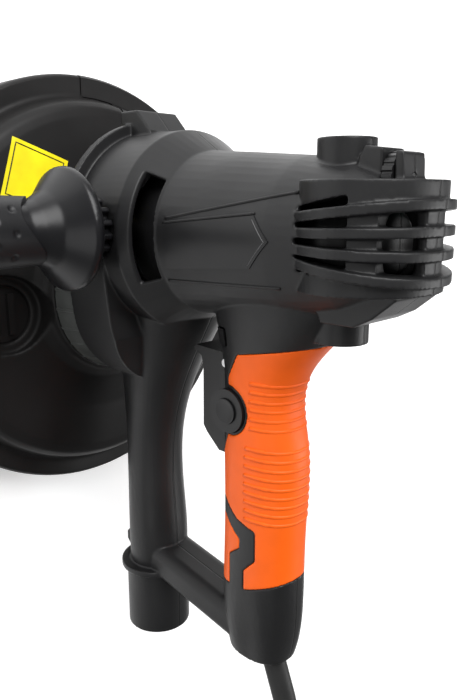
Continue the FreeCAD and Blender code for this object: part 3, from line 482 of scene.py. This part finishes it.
def rear_cap():
    """Dark cap over the rear bearing, seen through the rear inlets."""
    verts = []
    faces = []
    steps = 48
    for r, z in REAR_CAP:
        for i in range(steps):
            a = 2 * math.pi * i / steps
            verts.append((MOTOR_X + r * math.cos(a), r * math.sin(a), z))
    last = len(REAR_CAP) - 1
    for k in range(last):
        for i in range(steps):
            j = (i + 1) % steps
            faces.append((k * steps + i, k * steps + j, (k + 1) * steps + j, (k + 1) * steps + i))
    faces.append(tuple(range(last * steps, (last + 1) * steps)))
    faces.append(tuple(reversed(range(steps))))
    new_piece("rear_cap", verts, faces, "body_black", "housing")


def bristle_row(name, start, stop, node, body):
    """Tufts of nylon bristle set in the inner edge of the hood."""
    verts = []
    faces = []
    tufts_per_degree = 1.9
    half_wide = 0.0038         # half width of a tuft, radians
    count = int((stop - start) * tufts_per_degree)
    for i in range(count):
        a = math.radians(start + (stop - start) * (i + 0.5) / count)
        for row, r in enumerate((BRISTLE_R[0] + 0.9, BRISTLE_R[1] - 0.9)):
            lean = math.sin(i * 12.9898 + row * 4.1) * 0.0035
            low = 0.25 + 0.35 * (1 + math.sin(i * 7.31 + row))
            base = len(verts)
            for z, turn, thick in ((BRISTLE_TOP, 0.0, 0.75), (low, lean, 0.85)):
                for dr, da in ((-thick, -1), (thick, -1), (thick, 1), (-thick, 1)):
                    b = a + turn + da * half_wide
                    verts.append((-(r + dr) * math.sin(b), -(r + dr) * math.cos(b), z))
            faces += [(base, base + 1, base + 2, base + 3), (base + 7, base + 6, base + 5, base + 4)]
            for k in range(4):
                faces.append((base + k, base + 4 + k, base + 4 + (k + 1) % 4, base + (k + 1) % 4))
    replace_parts(new_piece(name, verts, faces, "bristle", body, False), node)


def on_label(tree, u, v, lift):
    """Point over the label, u and v from 0 to 1 across it, lifted off the hood."""
    a, b, c, d = [Vector(corner) for corner in LABEL]
    spot = a * (1 - u) * (1 - v) + b * u * (1 - v) + c * (1 - u) * v + d * u * v
    place, normal = on_surface(tree, (spot.x, spot.y, ABOVE_HOOD), (0, 0, -1))
    return place + normal * lift


def label():
    """Blank yellow sticker with a thin dark border line."""
    verts = []
    faces = []
    columns = 28
    rows = 24
    tree = surface_of("hood")
    for i in range(columns + 1):
        for j in range(rows + 1):
            verts.append(on_label(tree, i / columns, j / rows, LABEL_LIFT))
    for i in range(columns):
        for j in range(rows):
            k = i * (rows + 1) + j
            faces.append((k, k + 1, k + rows + 2, k + rows + 1))
    piece = new_piece("label_face", verts, faces, "hood_black", "housing")
    piece.data.materials[0] = LABEL_YELLOW
    low = BORDER_INSET
    high = 1 - BORDER_INSET
    corners = [(low, low), (high, low), (high, high), (low, high)]
    line = []
    for start, stop in zip(corners, corners[1:] + corners[:1]):
        for i in range(16):
            u = start[0] + (stop[0] - start[0]) * i / 16
            v = start[1] + (stop[1] - start[1]) * i / 16
            line.append(on_label(tree, u, v, BORDER_LIFT))
    sweep("label_border", [line], BORDER_R, "trim_black", "housing", 6, True)


def between(start, stop, steps):
    """Evenly spaced x, z points of a straight run, both ends included."""
    for i in range(steps + 1):
        yield [a + (b - a) * i / steps for a, b in zip(start, stop)]


def side_lines():
    """Long raised creases on each side of the motor housing."""
    tree = surface_of("housing_left")
    lines = []
    for start, stop in CREASES:
        for side in (-1, 1):
            line = []
            for x, z in between(start, stop, 30):
                found = on_surface(tree, (x, -70, z), (0, 1, 0))
                if found and found[0].y < -15:
                    line.append(Vector((x, found[0].y * -side, z)))
            lines.append(line)
    sweep("side_lines", lines, CREASE_R, "body_black", "housing", 8)


def plate_outline():
    """Fine light line round the pointed end of the blank plate on each side."""
    lines = []
    tree = surface_of("badges")
    for side in (-1, 1):
        line = []
        for start, stop in zip(PLATE_TIP, PLATE_TIP[1:]):
            for x, z in between(start, stop, 14):
                found = on_surface(tree, (x, side * 70, z), (0, -side, 0))
                if found and (not line or (line[-1] - found[0]).length > 0.1):
                    line.append(found[0])
        lines.append(line)
    piece = sweep("plate_outline", lines, PLATE_LINE_R, "trim_black", "housing", 6)
    piece.data.materials[0] = OUTLINE_GREY


def coil_points():
    """Turns of the stored coil: one on top, then every radius of every layer."""
    turns = [(COIL_RADII[-1], CORD_D * COIL_LAYERS + CORD_D / 2)]
    for layer in range(COIL_LAYERS):
        inward = layer % 2 == 0
        z = CORD_D * (COIL_LAYERS - layer) - CORD_D / 2
        turns += [(r, z) for r in (reversed(COIL_RADII) if inward else COIL_RADII)]
    turns.append(turns[-1])
    per_turn = 24
    points = []
    total = COIL_LAYERS * len(COIL_RADII) + 0.5
    for i in range(int(total * per_turn) + 1):
        turn, part = divmod(i / per_turn, 1.0)
        here = turns[int(turn)]
        there = turns[int(turn) + 1]
        t = max(0.0, (part - 0.7) / 0.3)
        t = t * t * (3 - 2 * t)
        r = here[0] + (there[0] - here[0]) * t
        z = here[1] + (there[1] - here[1]) * t
        a = math.pi + 2 * math.pi * i / per_turn
        points.append((COIL_CENTRE[0] + r * math.cos(a), COIL_CENTRE[1] + r * math.sin(a), z))
    return points


def cord():
    """Mains cord: a free run down to the coil, the coil, and the end at the plug."""
    points = ROUTE + coil_points() + [(COIL_CENTRE[0] + COIL_RADII[-1], *TAIL_BEND), TAIL]
    curve = bpy.data.curves.new("mains_cord", "CURVE")
    curve.dimensions = "3D"
    curve.bevel_depth = CORD_D / 2 * MM
    curve.bevel_resolution = 6
    curve.resolution_u = 6
    curve.use_fill_caps = True
    spline = curve.splines.new("NURBS")
    spline.points.add(len(points) - 1)
    for spot, place in zip(spline.points, points):
        spot.co = (*(Vector(place) * MM), 1.0)
    spline.order_u = 3
    spline.use_endpoint_u = True
    piece = bpy.data.objects.new("mains_cord", curve)
    bpy.context.collection.objects.link(piece)
    curve.materials.append(SLOTS["cord_rubber"])
    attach(piece, "housing")
    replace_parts(piece, "power_cord", "cord_coil")
    ties = [coil_tie(angle) for angle in (60, 240)]


def coil_tie(angle):
    """Strap round the coil that keeps its turns together."""
    a = math.radians(angle)
    out = Vector((math.cos(a), math.sin(a), 0))
    along = Vector((-math.sin(a), math.cos(a), 0))
    centre = Vector((*COIL_CENTRE, 0))
    low = 0.4
    high = CORD_D * (COIL_LAYERS + 1) + 0.7
    gap = 0.8
    strap = 0.9
    inner = COIL_RADII[0] - CORD_D / 2 - gap
    outer = COIL_RADII[-1] + CORD_D / 2 + gap
    loop = [(inner, low), (outer, low), (outer, high), (inner, high)]
    verts = []
    faces = []
    for thick in (0.0, strap):
        for side in (-5.0, 5.0):
            for r, z in loop:
                grow_r = thick if r == outer else -thick
                grow_z = thick if z == high else -min(thick, low)
                verts.append(centre + out * (r + grow_r) + along * side + Vector((0, 0, z + grow_z)))
    for k in range(4):
        n = (k + 1) % 4
        faces += [(k, n, 4 + n, 4 + k), (8 + k, 12 + k, 12 + n, 8 + n)]
        faces += [(k, 8 + k, 8 + n, n), (4 + k, 4 + n, 12 + n, 12 + k)]
    return new_piece("coil_tie_%d" % angle, verts, faces, "trim_black", "housing", False)


def finish_cad_nodes():
    """Every CAD node that stays gets the procedural material of its slot."""
    slots = {part["node"]: part["material_slot"] for part in frame["record"]["subparts"]}
    for name, node in nodes.items():
        node.data.materials.clear()
        node.data.materials.append(SLOTS[slots[name]])


# ---- stage, metres ------------------------------------------------------------------
AIM = (0.0, 0.0, 0.12)
AMBIENT = 0.24
CAMERA_AT = (-0.0539, -0.2338, 0.3767)
CAMERA_AHEAD = (0.2258, 0.6969, -0.6808)
CAMERA_RIGHT = (0.0, 0.6988, 0.7153)


def floor():
    """Plain pale floor with a faint glow of its own, so that it stays pale far from the lights."""
    mesh = bpy.data.meshes.new("floor")
    r = 6.0
    mesh.from_pydata([(-r, -r, 0), (r, -r, 0), (r, r, 0), (-r, r, 0)], [], [(0, 1, 2, 3)])
    plane = bpy.data.objects.new("floor", mesh)
    bpy.context.collection.objects.link(plane)
    s = Shader("floor", 0.9, Emission_Color=(1, 1, 1, 1), Emission_Strength=0.3)
    s.colour(s.noise(3.0, 2.0), [(0.3, (0.93, 0.93, 0.93)), (0.7, (0.95, 0.95, 0.95))])
    mesh.materials.append(s.mat)


def area_light(name, place, size, power):
    """Round soft light at place, aimed at the tool."""
    lamp = bpy.data.lights.new(name, "AREA")
    lamp.shape = "DISK"
    lamp.size = size
    lamp.energy = power
    lamp_object = bpy.data.objects.new(name, lamp)
    lamp_object.location = place
    way = Vector(AIM) - Vector(place)
    lamp_object.rotation_euler = way.to_track_quat("-Z", "Y").to_euler()
    bpy.context.collection.objects.link(lamp_object)


def lights():
    """White world, dimmer for the light it throws than for how it looks, and three soft lamps."""
    world = bpy.data.worlds.new("studio")
    world.use_nodes = True
    tree = world.node_tree
    path = tree.nodes.new("ShaderNodeLightPath")
    level = tree.nodes.new("ShaderNodeMapRange")
    level.inputs["To Min"].default_value = AMBIENT
    level.inputs["To Max"].default_value = 1.0
    background = tree.nodes["Background"]
    tree.links.new(path.outputs["Is Camera Ray"], level.inputs["Value"])
    tree.links.new(level.outputs["Result"], background.inputs["Strength"])
    background.inputs["Color"].default_value = (1, 1, 1, 1)
    bpy.context.scene.world = world
    area_light("key", (-0.95, -0.30, 0.95), 1.2, 28)
    area_light("fill", (0.3, -1.2, 0.7), 0.9, 2.5)
    area_light("rim", (0.2, 0.9, 1.1), 0.8, 8)


def camera():
    """Above the left rear of the tool, rolled so that the grip hangs down."""
    data = bpy.data.cameras.new("camera")
    data.sensor_fit = "VERTICAL"
    data.sensor_height = 36.0
    data.lens = 34.70
    data.clip_start = 0.01
    holder = bpy.data.objects.new("camera", data)
    bpy.context.collection.objects.link(holder)
    ahead = Vector(CAMERA_AHEAD).normalized()
    right = Vector(CAMERA_RIGHT).normalized()
    up = right.cross(ahead).normalized()
    turn = Matrix((right, up, -ahead)).transposed().to_4x4()
    holder.matrix_world = Matrix.Translation(CAMERA_AT) @ turn
    bpy.context.scene.camera = holder


finish_cad_nodes()
mouldings()
grip_ribs()
led_lens()
handle_sleeve()
# painted shade: dark inner walls behind the shoulder slot and the air inlets
shade_walls()
rear_cap()
start, stop = SEGMENT
gap = SEGMENT_GAP
bristle_row("hood_bristles", stop - 360 + gap, start - gap, "brush_skirt", "housing")
bristle_row("segment_bristles", start + gap, stop - gap, "segment_brush", "edge_segment")
label()
plate_outline()
side_lines()
cord()
floor()
lights()
camera()
bpy.context.scene.view_settings.view_transform = "Standard"
